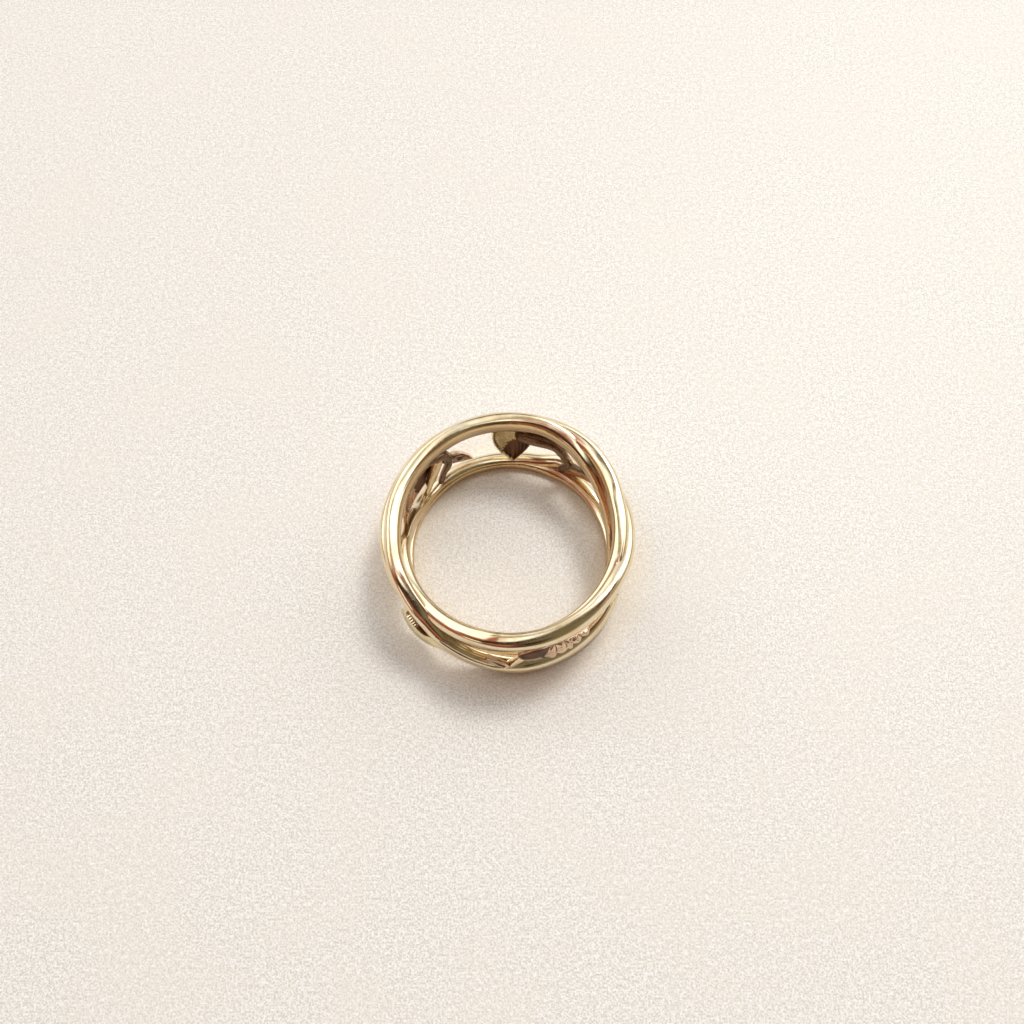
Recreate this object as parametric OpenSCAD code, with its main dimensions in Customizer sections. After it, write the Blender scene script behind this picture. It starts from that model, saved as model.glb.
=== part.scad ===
// Openwork gold ring: four soldered wires that weave between two rails,
// with leaves of rose and green gold in the gaps. It stands on its lower edge,
// with the finger's axis along Z and the origin in the middle of that edge.
// Angles go round the finger, anticlockwise from above: 0 is +X, 90 is +Y.

/* [Size] */
// Diameter of the finger hole
bore_d = 17.3; // [16.5:0.1:19]
// Thickness of the band, from the finger hole out to the wires' outer side
wall = 2.5; // [2.3:0.05:2.7]
// Height of the band
band_h = 8; // [7.6:0.1:8.6]

/* [Wires] */
// Width of a wire, from its inner to its outer side
wire_w = 1.4; // [1.2:0.05:1.6]
// Height of a wire
wire_h = 1.9; // [1.6:0.05:2.1]
// Height of the plain wire at the foot
foot_wire_h = 1.1; // [0.9:0.05:1.4]
// Steps round the finger in each wire
wire_steps = 72; // [60:6:90]

/* [Leaves] */
// Thickness of a leaf
leaf_t = 0.4; // [0.35:0.05:0.6]
// Depth of the groove along a leaf's midrib
groove = 0.16; // [0.05:0.01:0.2]
// Height of a leaf's side veins
vein = 0.07; // [0:0.01:0.12]
// Gap between a leaf and the wires that it is soldered to
seam = 0.03; // [0.02:0.01:0.06]

/* [Stems] */
// Scale of every stem's thickness
stem_scale = 1; // [0.8:0.05:1.2]

/* [Hidden] */

bore_r = bore_d / 2;
middle_r = bore_r + wall / 2;
// A wire's middle can step this far in or out before it leaves the wall
play = (wall - wire_w) / 2;
// Rows of the wire tables: angle, rise (0 at the foot, 1 at the top, and below
// 0 where the foot is filed flat), step (-1 against the finger, 1 at the outer
// side)
ANGLE = 0;
RISE = 1;
STEP = 2;

// High on the far side and low on the near side
far_wire = [
    [  5,  0.20, -1.00],
    [ 20,  0.50, -1.00],
    [ 40,  0.84, -0.86],
    [ 60,  0.97, -0.05],
    [ 80,  1.00,  0.42],
    [110,  1.00,  0.47],
    [150,  1.00,  0.15],
    [180,  1.00,  0.00],
    [200,  0.95,  0.25],
    [220,  0.80,  0.36],
    [235,  0.57,  0.50],
    [248,  0.35,  0.75],
    [262,  0.15,  0.70],
    [278,  0.00,  0.58],
    [300, -0.02,  0.28],
    [335,  0.00, -0.20],
    [350,  0.04, -0.80]
];
// Low on the far side and high on the near side
near_wire = [
    [  0,  0.88,  0.05],
    [ 15,  0.78,  0.15],
    [ 30,  0.58,  0.36],
    [ 45,  0.28,  0.55],
    [ 60,  0.03,  0.30],
    [ 75, -0.10, -0.60],
    [ 90, -0.12, -0.75],
    [130, -0.12, -0.75],
    [150,  0.00, -0.93],
    [170,  0.31, -1.00],
    [180,  0.47, -1.00],
    [200,  0.62, -1.00],
    [220,  0.71, -0.93],
    [235,  0.80, -0.80],
    [250,  0.92, -0.52],
    [265,  1.00, -0.32],
    [330,  1.00, -0.15],
    [345,  0.95,  0.00]
];
// Stays near the top and changes sides under the other two
top_wire = [
    [ 12,  1.00, -0.85],
    [ 32,  1.00, -0.15],
    [ 50,  0.98,  0.50],
    [ 75,  0.93,  0.85],
    [120,  0.88,  1.00],
    [170,  0.80,  1.00],
    [200,  0.70,  0.60],
    [215,  0.66, -0.05],
    [230,  0.66, -0.73],
    [245,  0.68, -1.00],
    [300,  0.76, -1.00],
    [325,  0.84, -1.00],
    [345,  0.97, -1.00]
];
// Plain ring at the foot, against the finger
foot_wire = [
    [  0, -0.02, -1],
    [180, -0.02, -1]
];

// Rows of a stem: angle, height, distance from the finger's axis, thickness
stem_arch = [
    [ 84.0, 4.4, 10.1, 1.20],
    [ 79.0, 4.6,  9.9, 1.35],
    [ 73.5, 4.8,  9.8, 1.35],
    [ 68.5, 4.8,  9.8, 1.25],
    [ 64.3, 4.5,  9.8, 1.05],
    [ 60.5, 3.9,  9.7, 0.90],
    [ 57.7, 3.1,  9.7, 0.80],
    [ 56.0, 2.3,  9.7, 0.80],
    [ 60.0, 1.2,  9.6, 0.80]
];
stem_fork = [
    [ 56.0, 2.4,  9.7, 0.70],
    [ 52.0, 2.7,  9.7, 0.60],
    [ 47.5, 3.0,  9.7, 0.50],
    [ 42.5, 3.5,  9.7, 0.45]
];
stem_hook = [
    [137.0, 6.2,  9.6, 0.70],
    [131.0, 5.8,  9.6, 0.80],
    [127.3, 5.3,  9.6, 0.90],
    [125.3, 4.3,  9.6, 0.90],
    [125.1, 3.3,  9.6, 0.70]
];
stem_foot = [
    [131.5, 5.2,  9.6, 0.90],
    [135.8, 3.9,  9.5, 0.90],
    [140.0, 2.6,  9.5, 0.80],
    [145.0, 1.3,  9.5, 0.70]
];
stem_knot = [
    [125.1, 3.3,  9.6, 0.70],
    [127.0, 2.9,  9.5, 0.70],
    [129.5, 2.2,  9.5, 0.60],
    [132.0, 1.3,  9.4, 0.60]
];
stem_near = [
    [264.0, 1.6, 10.5, 0.70],
    [270.0, 2.2, 10.4, 0.70],
    [276.0, 3.6, 10.2, 0.70]
];

// Rows of the leaf table: angle and height of the base, heading (0 round the
// finger, 90 up), length, width, bend over the whole length, height of the
// dome, and the rim's distance from the finger's axis at the base and the tip
BASE_ANGLE = 0;
BASE_Z = 1;
HEADING = 2;
LENGTH = 3;
WIDTH = 4;
BEND = 5;
DOME = 6;
BASE_R = 7;
TIP_R = 8;
far_leaf         = [ 89.0, 7.0, 269, 5.6, 3.9,   0, 0.80, 10.3,  9.0];
left_leaf        = [128.0, 4.5, 221, 3.8, 1.5,   0, 0.15,  9.7,  9.6];
left_long_leaf   = [132.0, 5.3, 332, 6.4, 3.7, -30, 0.60,  9.9,  9.8];
near_left_leaf   = [213.5, 3.8, 352, 5.2, 3.8,  22, 0.85, 10.45, 10.2];
near_curled_leaf = [269.5, 1.9, 125, 3.2, 1.6, -40, 0.30, 10.6, 10.3];
near_rose_leaf   = [274.0, 3.9,   4, 6.6, 3.2,   6, 0.30, 10.2, 10.1];
near_tip_leaf    = [331.0, 1.6,  60, 4.8, 1.6,   0, 0.05, 10.0, 10.1];

// Wires

// Row i of a table that goes on round the finger
function row(table, i) =
    let (n = len(table), turn = floor(i / n), r = table[i - n * turn])
    [r[ANGLE] + 360 * turn, r[RISE], r[STEP]];

function grade(table, i, c) =
    (row(table, i + 1)[c] - row(table, i)[c])
    / (row(table, i + 1)[ANGLE] - row(table, i)[ANGLE]);

// Slope of a column at row i, level where the column turns
function slope(table, i, c) =
    let (before = grade(table, i - 1, c), after = grade(table, i, c))
    before * after <= 0 ? 0 : 2 * before * after / (before + after);

// Value of a column at an angle, on a smooth curve through the rows
function at(table, angle, c) =
    let (
        i = max([for (k = [-1:len(table) - 1]) if (row(table, k)[ANGLE] <= angle) k]),
        span = row(table, i + 1)[ANGLE] - row(table, i)[ANGLE],
        s = (angle - row(table, i)[ANGLE]) / span,
        start = row(table, i)[c],
        end = row(table, i + 1)[c]
    )
    start * (1 + 2 * s) * (1 - s) * (1 - s)
    + end * s * s * (3 - 2 * s)
    + span * slope(table, i, c) * s * (1 - s) * (1 - s)
    - span * slope(table, i + 1, c) * s * s * (1 - s);

// Outline of a wire, flatter towards the finger: [out, up], each from -1 to 1
section_sides = 14;
flat_side_power = 0.5;
round_side_power = 0.8;
function signed_power(x, p) = sign(x) * pow(abs(x), p);
function section_point(k) =
    let (
        a = 360 * k / section_sides,
        p = cos(a) < 0 ? flat_side_power : round_side_power
    )
    [signed_power(cos(a), p), signed_power(sin(a), p)];

function on_ring(r, angle, z) = [r * cos(angle), r * sin(angle), z];

// Share of a step by which each wire's corners are turned from the last one's,
// so that no two wires have corners side by side
corner_shift = 0.23;

// One wire as a closed loop, made thicker by grow on every side
module wire(table, height, turn, grow) {
    rings = wire_steps;
    sides = section_sides;
    points = [
        for (i = [0:rings - 1], k = [0:sides - 1])
        let (
            angle = 360 * (i + turn * corner_shift) / rings,
            p = section_point(k),
            r = middle_r + play * at(table, angle, STEP),
            z = height / 2 + (band_h - height) * at(table, angle, RISE)
        )
        on_ring(r + p[0] * (wire_w / 2 + grow), angle, z + p[1] * (height / 2 + grow))
    ];
    function corner(i, k) = (i % rings) * sides + k % sides;
    faces = [
        for (i = [0:rings - 1], k = [0:sides - 1])
        [corner(i, k), corner(i, k + 1), corner(i + 1, k + 1), corner(i + 1, k)]
    ];
    polyhedron(points, faces, convexity = 10);
}

// A stem is a chain of balls, each joined to the next
module stem(rows, grow) {
    for (i = [0:len(rows) - 2])
        hull()
            for (p = [rows[i], rows[i + 1]])
                translate(on_ring(p[2], p[0], p[1]))
                    sphere(d = p[3] * stem_scale + 2 * grow, $fn = 10);
}

module metalwork(grow) {
    wire(far_wire, wire_h, 0, grow);
    wire(near_wire, wire_h, 1, grow);
    wire(top_wire, wire_h, 2, grow);
    wire(foot_wire, foot_wire_h, 3, grow);
    stem(stem_arch, grow);
    stem(stem_fork, grow);
    stem(stem_hook, grow);
    stem(stem_foot, grow);
    stem(stem_knot, grow);
    stem(stem_near, grow);
}

// Leaves

leaf_stations = 12;
// Places across a leaf, from one rim to the other, and the relief at each:
// a raised rim, a channel inside it, and the groove of the midrib
ACROSS = 0;
RELIEF = 1;
leaf_across = [
    [-1.00, 0.3],
    [-0.84, -0.2],
    [-0.45, 0.2],
    [-0.10, 0.1],
    [ 0.00, -1.0],
    [ 0.10, 0.1],
    [ 0.45, 0.2],
    [ 0.84, -0.2],
    [ 1.00, 0.3]
];
// Side veins sweep forward by this share of the leaf's length
vein_sweep = 0.1;
base_share = 0.12;

// Half the width at a place along the leaf, pointed at the tip
function half_width(leaf, u) =
    leaf[WIDTH] / 2 * max(0.02, pow(sin(180 * pow(base_share + (1 - base_share) * u, 0.85)), 0.9));

// Midrib at a place along the leaf: [round, up], in millimetres from the base
function midrib(leaf, u) =
    let (
        turn = abs(leaf[BEND]) < 1 ? 1 : leaf[BEND],
        start = leaf[HEADING] - turn / 2,
        radius = leaf[LENGTH] * 180 / (PI * turn)
    )
    radius * [sin(start + turn * u) - sin(start), cos(start) - cos(start + turn * u)];

function leaf_point(leaf, i, j, side) =
    let (
        v = leaf_across[j][ACROSS],
        along = i / leaf_stations,
        u = min(1, max(0, along + vein_sweep * abs(v) * sin(180 * along))),
        heading = leaf[HEADING] + leaf[BEND] * (u - 0.5),
        place = midrib(leaf, u) + v * half_width(leaf, u) * [-sin(heading), cos(heading)],
        crown = (1 - v * v) * pow(sin(180 * (0.1 + 0.85 * u)), 0.7),
        relief = groove * leaf_across[j][RELIEF] + vein * (i % 2 == 0 ? 1 : 0) * (1 - abs(v)),
        rim_r = leaf[BASE_R] * (1 - u) + leaf[TIP_R] * u,
        r = rim_r + leaf[DOME] * crown
            + (side > 0 ? leaf_t / 2 + relief * sin(180 * u) : -leaf_t / 2)
    )
    on_ring(r, leaf[BASE_ANGLE] + place[0] / leaf[BASE_R] * 180 / PI, leaf[BASE_Z] + place[1]);

module leaf_form(leaf) {
    n = leaf_stations;
    m = len(leaf_across) - 1;
    points = [
        for (side = [-1, 1], i = [0:n], j = [0:m]) leaf_point(leaf, i, j, side)
    ];
    function corner(side, i, j) = (side > 0 ? (n + 1) * (m + 1) : 0) + i * (m + 1) + j;
    faces = concat(
        [for (i = [0:n - 1], j = [0:m - 1])
            each [
                [corner(1, i, j), corner(1, i, j + 1), corner(1, i + 1, j + 1)],
                [corner(1, i, j), corner(1, i + 1, j + 1), corner(1, i + 1, j)]
            ]],
        [for (i = [0:n - 1], j = [0:m - 1])
            each [
                [corner(-1, i, j), corner(-1, i + 1, j + 1), corner(-1, i, j + 1)],
                [corner(-1, i, j), corner(-1, i + 1, j), corner(-1, i + 1, j + 1)]
            ]],
        [for (i = [0:n - 1])
            each [
                [corner(-1, i, 0), corner(1, i, 0), corner(1, i + 1, 0), corner(-1, i + 1, 0)],
                [corner(1, i, m), corner(-1, i, m), corner(-1, i + 1, m), corner(1, i + 1, m)]
            ]],
        [for (j = [0:m - 1])
            each [
                [corner(1, 0, j), corner(-1, 0, j), corner(-1, 0, j + 1), corner(1, 0, j + 1)],
                [corner(-1, n, j), corner(1, n, j), corner(1, n, j + 1), corner(-1, n, j + 1)]
            ]]
    );
    polyhedron(points, faces, convexity = 10);
}

// A leaf stops at the wires and stems that hold it
module leaf(row) {
    difference() {
        leaf_form(row);
        metalwork(seam);
    }
}

// The wires are filed flat at the foot
module band() {
    color("gold")
        intersection() {
            metalwork(0);
            cylinder(h = band_h + 1, r = 2 * middle_r);
        }
}

module leaf_far() {
    color("darkkhaki") leaf(far_leaf);
}

module leaf_left() {
    color("rosybrown") leaf(left_leaf);
}

module leaf_left_long() {
    color("rosybrown") leaf(left_long_leaf);
}

module leaf_near_left() {
    color("darkkhaki") leaf(near_left_leaf);
}

module leaf_near_curled() {
    color("rosybrown") leaf(near_curled_leaf);
}

module leaf_near_rose() {
    color("rosybrown") leaf(near_rose_leaf);
}

module leaf_near_tip() {
    color("darkkhaki") leaf(near_tip_leaf);
}

band();
leaf_far();
leaf_left();
leaf_left_long();
leaf_near_left();
leaf_near_curled();
leaf_near_rose();
leaf_near_tip();
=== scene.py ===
import itertools
import math
from collections import namedtuple

import bpy
import numpy as np
from mathutils import Matrix, Vector


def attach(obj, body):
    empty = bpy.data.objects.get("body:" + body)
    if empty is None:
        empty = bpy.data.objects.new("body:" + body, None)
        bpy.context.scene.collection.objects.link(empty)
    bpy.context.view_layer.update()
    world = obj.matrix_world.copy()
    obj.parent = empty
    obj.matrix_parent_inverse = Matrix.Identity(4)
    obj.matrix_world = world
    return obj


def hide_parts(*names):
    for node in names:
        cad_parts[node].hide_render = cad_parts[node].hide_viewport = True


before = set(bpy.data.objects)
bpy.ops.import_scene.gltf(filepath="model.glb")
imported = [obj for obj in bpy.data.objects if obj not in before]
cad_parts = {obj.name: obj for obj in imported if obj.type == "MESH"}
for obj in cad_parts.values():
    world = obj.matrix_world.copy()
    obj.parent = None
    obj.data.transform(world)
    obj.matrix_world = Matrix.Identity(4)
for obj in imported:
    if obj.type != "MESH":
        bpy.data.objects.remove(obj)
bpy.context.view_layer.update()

# Sizes, in millimetres. MIDDLE_R is the middle of the band's wall, PLAY is how far
# a wire's middle may lie from it, and MM is a millimetre in Blender's metres

BORE_R = 17.3 / 2
WALL = 2.5
BAND_H = 8.0
WIRE_W = 1.4
WIRE_H = 1.9
FOOT_WIRE_H = 1.1
MIDDLE_R = BORE_R + WALL / 2
PLAY = (WALL - WIRE_W) / 2
LEAF_T = 0.4
GROOVE = 0.16
VEIN = 0.07
SEAM = 0.03
MM = 0.001

# How finely each mesh is made: places round the ring, sides of a wire, steps
# between the rows of a stem, sides of a stem, and rows and columns of a leaf

BAND_RINGS, BAND_SIDES, BAND_STEPS = 400, 44, 8
CUTTER_RINGS, CUTTER_SIDES, CUTTER_STEPS = 200, 28, 4
STEM_SIDES = 24
LEAF_ROWS, LEAF_COLUMNS = 140, 81

# Edges that bend by more than this many degrees are shaded sharp

BAND_SHARP, LEAF_SHARP = 30, 35

# Wire tables: angle, rise (0 at the foot, 1 at the top), step (-1 against the
# finger, 1 at the outer side)

ANGLE, RISE, STEP = 0, 1, 2
FAR_WIRE = [
    (5, 0.20, -1.00),
    (20, 0.50, -1.00),
    (40, 0.84, -0.86),
    (60, 0.97, -0.05),
    (80, 1.00, 0.42),
    (110, 1.00, 0.47),
    (150, 1.00, 0.15),
    (180, 1.00, 0.00),
    (200, 0.95, 0.25),
    (220, 0.80, 0.36),
    (235, 0.57, 0.50),
    (248, 0.35, 0.75),
    (262, 0.15, 0.70),
    (278, 0.00, 0.58),
    (300, -0.02, 0.28),
    (335, 0.00, -0.20),
    (350, 0.04, -0.80),
]
NEAR_WIRE = [
    (0, 0.88, 0.05),
    (15, 0.78, 0.15),
    (30, 0.58, 0.36),
    (45, 0.28, 0.55),
    (60, 0.03, 0.30),
    (75, -0.10, -0.60),
    (90, -0.12, -0.75),
    (130, -0.12, -0.75),
    (150, 0.00, -0.93),
    (170, 0.31, -1.00),
    (180, 0.47, -1.00),
    (200, 0.62, -1.00),
    (220, 0.71, -0.93),
    (235, 0.80, -0.80),
    (250, 0.92, -0.52),
    (265, 1.00, -0.32),
    (330, 1.00, -0.15),
    (345, 0.95, 0.00),
]
TOP_WIRE = [
    (12, 1.00, -0.85),
    (32, 1.00, -0.15),
    (50, 0.98, 0.50),
    (75, 0.93, 0.85),
    (120, 0.88, 1.00),
    (170, 0.80, 1.00),
    (200, 0.70, 0.60),
    (215, 0.66, -0.05),
    (230, 0.66, -0.73),
    (245, 0.68, -1.00),
    (300, 0.76, -1.00),
    (325, 0.84, -1.00),
    (345, 0.97, -1.00),
]
FOOT_WIRE = [
    (0, -0.02, -1.00),
    (180, -0.02, -1.00),
]
WIRES = [
    (FAR_WIRE, WIRE_H),
    (NEAR_WIRE, WIRE_H),
    (TOP_WIRE, WIRE_H),
    (FOOT_WIRE, FOOT_WIRE_H),
]

# Stem tables: angle, height, distance from the finger's axis, thickness

STEM_ARCH = [
    (84.0, 4.4, 10.1, 1.20),
    (79.0, 4.6, 9.9, 1.35),
    (73.5, 4.8, 9.8, 1.35),
    (68.5, 4.8, 9.8, 1.25),
    (64.3, 4.5, 9.8, 1.05),
    (60.5, 3.9, 9.7, 0.90),
    (57.7, 3.1, 9.7, 0.80),
    (56.0, 2.3, 9.7, 0.80),
    (60.0, 1.2, 9.6, 0.80),
]
STEM_FORK = [
    (56.0, 2.4, 9.7, 0.70),
    (52.0, 2.7, 9.7, 0.60),
    (47.5, 3.0, 9.7, 0.50),
    (42.5, 3.5, 9.7, 0.45),
]
STEM_HOOK = [
    (137.0, 6.2, 9.6, 0.70),
    (131.0, 5.8, 9.6, 0.80),
    (127.3, 5.3, 9.6, 0.90),
    (125.3, 4.3, 9.6, 0.90),
    (125.1, 3.3, 9.6, 0.70),
]
STEM_FOOT = [
    (131.5, 5.2, 9.6, 0.90),
    (135.8, 3.9, 9.5, 0.90),
    (140.0, 2.6, 9.5, 0.80),
    (145.0, 1.3, 9.5, 0.70),
]
STEM_KNOT = [
    (125.1, 3.3, 9.6, 0.70),
    (127.0, 2.9, 9.5, 0.70),
    (129.5, 2.2, 9.5, 0.60),
    (132.0, 1.3, 9.4, 0.60),
]
STEM_NEAR = [
    (264.0, 1.6, 10.5, 0.70),
    (270.0, 2.2, 10.4, 0.70),
    (276.0, 3.6, 10.2, 0.70),
]
STEMS = [STEM_ARCH, STEM_FORK, STEM_HOOK, STEM_FOOT, STEM_KNOT, STEM_NEAR]

# Leaf table: angle and height of the base, heading, length, width, bend, height
# of the dome, and the rim's distance from the axis at the base and the tip

LEAVES = {
    "leaf_far": (89.0, 7.0, 269, 5.6, 3.9, 0, 0.80, 10.3, 9.0),
    "leaf_left": (128.0, 4.5, 221, 3.8, 1.5, 0, 0.15, 9.7, 9.6),
    "leaf_left_long": (132.0, 5.3, 332, 6.4, 3.7, -30, 0.60, 9.9, 9.8),
    "leaf_near_left": (213.5, 3.8, 352, 5.2, 3.8, 22, 0.85, 10.45, 10.2),
    "leaf_near_curled": (269.5, 1.9, 125, 3.2, 1.6, -40, 0.30, 10.6, 10.3),
    "leaf_near_rose": (274.0, 3.9, 4, 6.6, 3.2, 6, 0.30, 10.2, 10.1),
    "leaf_near_tip": (331.0, 1.6, 60, 4.8, 1.6, 0, 0.05, 10.0, 10.1),
}
LEAF_SLOTS = {
    "leaf_far": "green_gold",
    "leaf_left": "rose_gold",
    "leaf_left_long": "rose_gold",
    "leaf_near_left": "green_gold",
    "leaf_near_curled": "rose_gold",
    "leaf_near_rose": "rose_gold",
    "leaf_near_tip": "green_gold",
}

# Mesh helpers. SOURCE is the face attribute that outlives the Booleans

SOURCE = "source"


def on_ring(r, angle, z):
    """Points at a distance from the finger's axis, an angle and a height."""
    a = np.radians(angle)
    return np.stack(np.broadcast_arrays(r * np.cos(a), r * np.sin(a), z), axis=-1)


def new_object(name, points, faces, source):
    """A mesh object in millimetres. Each face carries the number of its source,
    which is one number for all or a list."""
    mesh = bpy.data.meshes.new(name)
    mesh.from_pydata(np.asarray(points, float).reshape(-1, 3).tolist(), [], faces)
    numbers = np.broadcast_to(source, len(mesh.polygons)).astype(np.int32)
    mesh.attributes.new(SOURCE, "INT", "FACE")
    mesh.attributes[SOURCE].data.foreach_set("value", numbers)
    mesh.validate()
    mesh.update()
    obj = bpy.data.objects.new(name, mesh)
    bpy.context.scene.collection.objects.link(obj)
    return obj


def combine(base, other, operation):
    """Puts the Boolean of base and other in base's mesh and removes other."""
    step = base.modifiers.new("step", "BOOLEAN")
    step.solver = "MANIFOLD"
    step.operation = operation
    step.object = other
    depsgraph = bpy.context.evaluated_depsgraph_get()
    made = bpy.data.meshes.new_from_object(base.evaluated_get(depsgraph))
    base.modifiers.remove(step)
    old = base.data
    base.data = made
    bpy.data.meshes.remove(old)
    spent = other.data
    bpy.data.objects.remove(other)
    bpy.data.meshes.remove(spent)
    return base


def closed_grid(rings, sides):
    """Faces of a tube that closes on itself both ways."""
    i, k = np.meshgrid(np.arange(rings), np.arange(sides), indexing="ij")

    def corner(a, b):
        return (a % rings) * sides + b % sides

    faces = np.stack(
        [corner(i, k), corner(i + 1, k), corner(i + 1, k + 1), corner(i, k + 1)], -1
    )
    return faces.reshape(-1, 4).tolist()


# Wires


def on_curve(table, angle, column):
    """Value of a column at an angle, on a smooth curve through the rows."""
    n = len(table)

    def row(i):
        turn = i // n
        r = table[i - n * turn]
        return r[ANGLE] + 360 * turn, r[column]

    def grade(i):
        (a0, v0), (a1, v1) = row(i), row(i + 1)
        return (v1 - v0) / (a1 - a0)

    def slope(i):
        before, after = grade(i - 1), grade(i)
        return 0 if before * after <= 0 else 2 * before * after / (before + after)

    i = max(k for k in range(-1, n) if row(k)[0] <= angle)
    (a0, v0), (a1, v1) = row(i), row(i + 1)
    span = a1 - a0
    s = (angle - a0) / span
    return (
        v0 * (1 + 2 * s) * (1 - s) ** 2
        + v1 * s * s * (3 - 2 * s)
        + span * slope(i) * s * (1 - s) ** 2
        - span * slope(i + 1) * s * s * (1 - s)
    )


# A wire's outline: 1 would be an ellipse, and a lower power is squarer

FLAT_SIDE_POWER = 0.5
ROUND_SIDE_POWER = 0.8

# Steps of the outline as drawn and as spaced evenly, then how many of those on
# either side a bend is averaged over, and how far bends draw the points together

OUTLINE_STEPS = 7200
EVEN_STEPS = 1200
BEND_REACH = 8
BEND_WEIGHT = 1.2

# Where the wires' tops have been rubbed down: angle, then the shares of the half
# height by which a top falls away towards the finger and towards the outer side.
# FALL_START is how far beyond the top's middle a fall starts, in half widths

INNER_FALL, OUTER_FALL = 1, 2
FALL_START = 0.3
FALL_CURVE = 1.2
TOP_FALLS = [
    (2, 0.08, 0.04),
    (14, 0.08, 0.02),
    (26, 0.28, 0.00),
    (42, 0.14, 0.00),
    (62, 0.32, 0.00),
    (82, 0.14, 0.04),
    (120, 0.14, 0.00),
    (146, 0.04, 0.02),
    (164, 0.05, 0.03),
    (182, 0.18, 0.00),
    (198, 0.17, 0.00),
    (220, 0.04, 0.32),
    (246, 0.10, 0.10),
    (268, 0.02, 0.24),
    (300, 0.00, 0.34),
    (325, 0.10, 0.10),
    (345, 0.22, 0.00),
]


def wire_section(sides, width, height):
    """Outline of a wire, flatter towards the finger, with closer points where it
    bends more: (out, up), each from -1 to 1."""
    a = np.radians(np.linspace(0, 360, OUTLINE_STEPS + 1)[:-1])
    p = np.where(np.cos(a) < 0, FLAT_SIDE_POWER, ROUND_SIDE_POWER)
    x = np.sign(np.cos(a)) * np.abs(np.cos(a)) ** p
    y = np.sign(np.sin(a)) * np.abs(np.sin(a)) ** p
    loop = np.stack([x * width / 2, y * height / 2], 1)
    dense = np.concatenate([loop, loop[:1]])
    step = np.diff(dense, axis=0)
    length = np.hypot(step[:, 0], step[:, 1])
    even = np.linspace(0, length.sum(), EVEN_STEPS + 1)[:-1]
    at = np.concatenate([[0], np.cumsum(length)])
    ex = np.interp(even, at, dense[:, 0])
    ey = np.interp(even, at, dense[:, 1])
    turn = np.unwrap(np.arctan2(np.roll(ey, -1) - ey, np.roll(ex, -1) - ex))
    bend = np.abs(np.diff(turn, append=turn[0] + 2 * np.pi))
    round_again = np.concatenate([bend[-BEND_REACH:], bend, bend[:BEND_REACH]])
    span = 2 * BEND_REACH + 1
    bend = np.convolve(round_again, np.ones(span) / span, "valid")
    weight = 1 / len(bend) + BEND_WEIGHT * bend / bend.sum()
    total = np.concatenate([[0], np.cumsum(weight)])
    pick = np.interp(np.arange(sides) / sides * total[-1], total, np.arange(len(total)))
    ring_x = np.interp(pick, np.arange(len(ex) + 1), np.append(ex, ex[0]))
    ring_y = np.interp(pick, np.arange(len(ey) + 1), np.append(ey, ey[0]))
    return np.stack([ring_x / (width / 2), ring_y / (height / 2)], 1)


# Hand work leaves a wire a little uneven: waves round the ring, height, phase.
# The shifts keep two wires from having the same waves and places

WIRE_SHIFT = 1.7
RING_SHIFT = 0.37
OUT_WAVES = [(5, 0.018, 0.4), (9, 0.009, 2.1), (14, 0.004, 4.4)]
UP_WAVES = [(4, 0.020, 1.3), (7, 0.010, 3.7), (11, 0.004, 0.2)]


def uneven(waves, angle, wire):
    """Sum of the waves at an angle, in millimetres, for the wire of that number."""
    a = np.radians(angle)
    shift = WIRE_SHIFT * wire
    return sum(size * np.sin(count * a + phase + shift) for count, size, phase in waves)


def make_wire(table, height, rings, sides, grow, wire, source):
    """A closed wire through a table's rows, larger by grow on every side."""
    angle = 360 * (np.arange(rings) + RING_SHIFT * wire) / rings
    r = MIDDLE_R + PLAY * np.array([on_curve(table, a, STEP) for a in angle])
    rise = np.array([on_curve(table, a, RISE) for a in angle])
    r = r + uneven(OUT_WAVES, angle, wire)
    z = height / 2 + (BAND_H - height) * rise - np.abs(uneven(UP_WAVES, angle, wire))
    out, up = wire_section(sides, WIRE_W, height).T
    inner_fall = np.array([on_curve(TOP_FALLS, a, INNER_FALL) for a in angle])
    outer_fall = np.array([on_curve(TOP_FALLS, a, OUTER_FALL) for a in angle])
    reach = 1 + FALL_START
    fall = np.outer(inner_fall, np.clip((FALL_START - out) / reach, 0, 1) ** FALL_CURVE)
    fall = fall + np.outer(outer_fall, np.clip((FALL_START + out) / reach, 0, 1) ** FALL_CURVE)
    points = on_ring(
        r[:, None] + out[None, :] * (WIRE_W / 2 + grow),
        angle[:, None],
        z[:, None] + up[None, :] * (1 - fall * (up > 0)) * (height / 2 + grow),
    )
    return new_object("wire", points, closed_grid(rings, sides), source)


# Stems. A round end has a ring at each of these angles, from its tip to its rim

CAP_DEGREES = [80, 60, 40, 20]


def smooth_path(knots, steps):
    """Points on a smooth curve through the knots, with steps from each to the next."""
    ends = np.concatenate([2 * knots[:1] - knots[1:2], knots, 2 * knots[-1:] - knots[-2:-1]])
    path = []
    for i in range(len(knots) - 1):
        p0, p1, p2, p3 = ends[i : i + 4]
        for t in np.arange(steps) / steps:
            linear = (p2 - p0) * t
            square = (2 * p0 - 5 * p1 + 4 * p2 - p3) * t * t
            cubic = (3 * p1 - p0 - 3 * p2 + p3) * t**3
            path.append(0.5 * (2 * p1 + linear + square + cubic))
    path.append(knots[-1])
    return np.array(path)


def capped_tube(rings, sides):
    """Faces of a tube of rings, closed by two points that follow those of the rings."""
    faces = []
    for i in range(rings - 1):
        for k in range(sides):
            this, after = i * sides, (i + 1) * sides
            follow = (k + 1) % sides
            faces.append((this + k, this + follow, after + follow, after + k))
    start, stop = rings * sides, rings * sides + 1
    last = (rings - 1) * sides
    faces += [(start, (k + 1) % sides, k) for k in range(sides)]
    faces += [(stop, last + k, last + (k + 1) % sides) for k in range(sides)]
    return faces


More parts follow.
